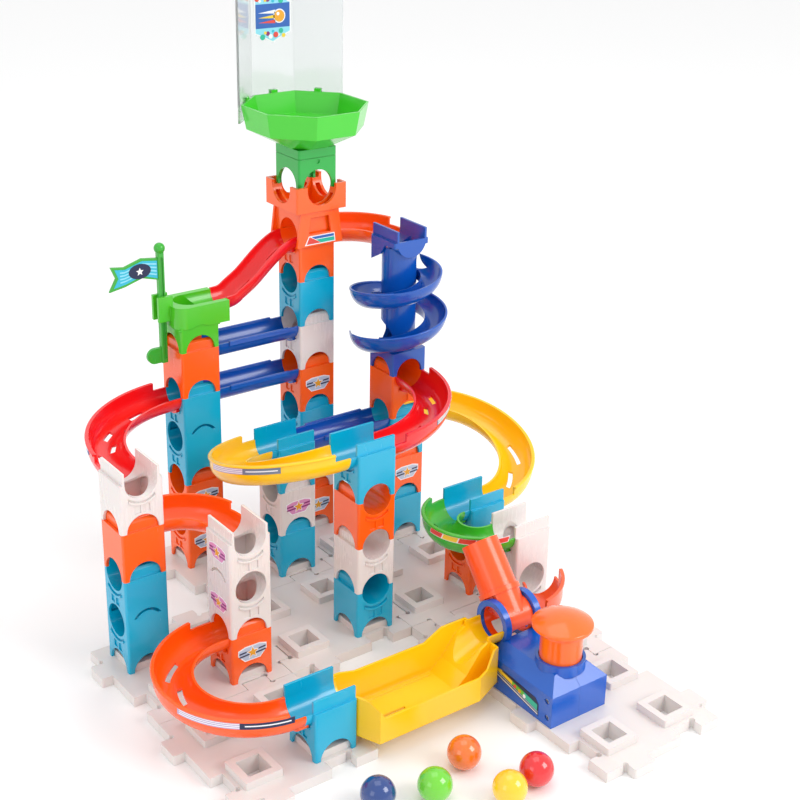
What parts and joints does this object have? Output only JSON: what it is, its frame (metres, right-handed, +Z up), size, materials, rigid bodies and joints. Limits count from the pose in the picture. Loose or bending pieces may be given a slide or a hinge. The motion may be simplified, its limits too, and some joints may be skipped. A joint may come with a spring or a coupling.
{
  "type": "marble run",
  "caption": "Marble run of stacked trough blocks on jigsaw base plates, joined by curved tracks, with a funnel, spiral, flag lever, tray and push-button launcher.",
  "frame": {"origin": "on the floor, at the middle of the underside of the central base plate", "axes": "+X along the long tray towards the launcher, +Y away from the launcher towards the funnel tower, +Z up"},
  "size_m": [0.353, 0.418, 0.4252],
  "materials": {
    "block_orange": "moulded orange plastic",
    "block_teal": "moulded teal plastic",
    "block_white": "moulded white plastic",
    "button_orange": "moulded orange plastic",
    "clear_screen": "clear sheet plastic",
    "end_lime": "moulded lime plastic",
    "flag_green": "moulded green plastic",
    "funnel_green": "moulded lime plastic",
    "hammer_white": "acetal plastic",
    "launcher_blue": "moulded blue plastic",
    "launcher_orange": "moulded orange plastic",
    "marble_blue": "polished plastic ball",
    "marble_green": "polished plastic ball",
    "marble_orange": "polished plastic ball",
    "marble_red": "polished plastic ball",
    "marble_yellow": "polished plastic ball",
    "pin_steel": "turned steel pin",
    "plate_white": "moulded white plastic",
    "screw_steel": "plated screw steel",
    "spiral_blue": "moulded deep blue plastic",
    "spring_steel": "spring wire",
    "stem_green": "moulded green plastic",
    "track_blue": "moulded deep blue plastic",
    "track_green": "moulded green plastic",
    "track_orange": "moulded orange plastic",
    "track_red": "moulded red plastic",
    "track_yellow": "moulded yellow plastic"
  },
  "bodies": {
    "run": {"backboard": "clear_screen", "base_plates": "plate_white", "end_piece": "end_lime", "funnel_bowl": "funnel_green", "funnel_stem": "stem_green", "junction_block": "block_orange", "launcher_hammer_pin": "pin_steel", "launcher_scoop": "launcher_orange", "launcher_screws": "screw_steel", "launcher_shell_left": "launcher_blue", "launcher_shell_right": "launcher_blue", "spiral_tower": "spiral_blue", "teal_base_blocks": "block_teal", "tower_a_orange_exit": "block_orange", "tower_a_teal_double": "block_teal", "tower_a_white_drop_top": "block_white", "tower_b_orange_exit": "block_orange", "tower_b_white_double": "block_white", "tower_c_teal_connector": "block_teal", "tower_d_orange_block": "block_orange", "tower_d_teal_connector": "block_teal", "tower_d_white_block": "block_white", "tower_e_teal_connector": "block_teal", "tower_e_white_block": "block_white", "tower_f_orange_block": "block_orange", "tower_f_orange_exit": "block_orange", "tower_f_teal_block": "block_teal", "tower_g_orange_blocks": "block_orange", "tower_g_orange_exit": "block_orange", "tower_g_teal_double": "block_teal", "tower_h_orange_base": "block_orange", "tower_h_orange_exit": "block_orange", "tower_h_teal_block": "block_teal", "tower_h_teal_top": "block_teal", "tower_h_white_base": "block_white", "tower_h_white_block": "block_white", "tower_i_orange_block": "block_orange", "tower_i_teal_connector": "block_teal", "tower_j_white_double": "block_white", "track_green_return": "track_green", "track_orange_lower_curve": "track_orange", "track_orange_return": "track_orange", "track_orange_upper_curve": "track_orange", "track_red_front_curve": "track_red", "track_red_left_curve": "track_red", "track_red_slide": "track_red", "track_yellow_left_return": "track_yellow", "track_yellow_right_return": "track_yellow", "tracks_blue_straight": "track_blue", "tray_yellow": "track_yellow"},
    "flag": {"flag_lever": "flag_green"},
    "button": {"launcher_button": "button_orange", "launcher_spring": "spring_steel"},
    "hammer": {"launcher_hammer": "hammer_white"},
    "barrel": {"launcher_barrel": "launcher_orange"},
    "marble_orange": {"marble_orange": "marble_orange"},
    "marble_green": {"marble_green": "marble_green"},
    "marble_yellow": {"marble_yellow": "marble_yellow"},
    "marble_red": {"marble_red": "marble_red"},
    "marble_blue": {"marble_blue": "marble_blue"}
  },
  "joints": [
    {"name": "flag_swing", "type": "hinge", "parent": "run", "child": "flag", "pos_m": [-0.0453, 0.1215, 0.21236], "axis": [0, 1, 0], "range_deg": [-4, 24]},
    {"name": "button_press", "type": "slide", "parent": "run", "child": "button", "axis": [0, 0, -1], "range_m": [0, 0.008], "stiffness_N_per_m": 300, "springref_m": -0.002, "deforming": ["launcher_spring"]},
    {"name": "hammer_kick", "type": "hinge", "parent": "run", "child": "hammer", "pos_m": [0.0729, -0.1415, 0.027], "axis": [1, 0, 0], "range_deg": [0, 26.6]},
    {"name": "barrel_tilt", "type": "hinge", "parent": "run", "child": "barrel", "pos_m": [0.0729, -0.1215, 0.0445], "axis": [1, 0, 0], "range_deg": [0, 8]},
    {"name": "marble_orange_lift", "type": "slide", "parent": "run", "child": "marble_orange", "axis": [0, 0, 1], "range_m": [0, 0.06]},
    {"name": "marble_green_lift", "type": "slide", "parent": "run", "child": "marble_green", "axis": [0, 0, 1], "range_m": [0, 0.06]},
    {"name": "marble_yellow_lift", "type": "slide", "parent": "run", "child": "marble_yellow", "axis": [0, 0, 1], "range_m": [0, 0.06]},
    {"name": "marble_red_lift", "type": "slide", "parent": "run", "child": "marble_red", "axis": [0, 0, 1], "range_m": [0, 0.06]},
    {"name": "marble_blue_lift", "type": "slide", "parent": "run", "child": "marble_blue", "axis": [0, 0, 1], "range_m": [0, 0.06]}
  ],
  "couplings": [
    {"joint": "hammer_kick", "follows": "button_press", "rad_per_m": 57.596}
  ]
}
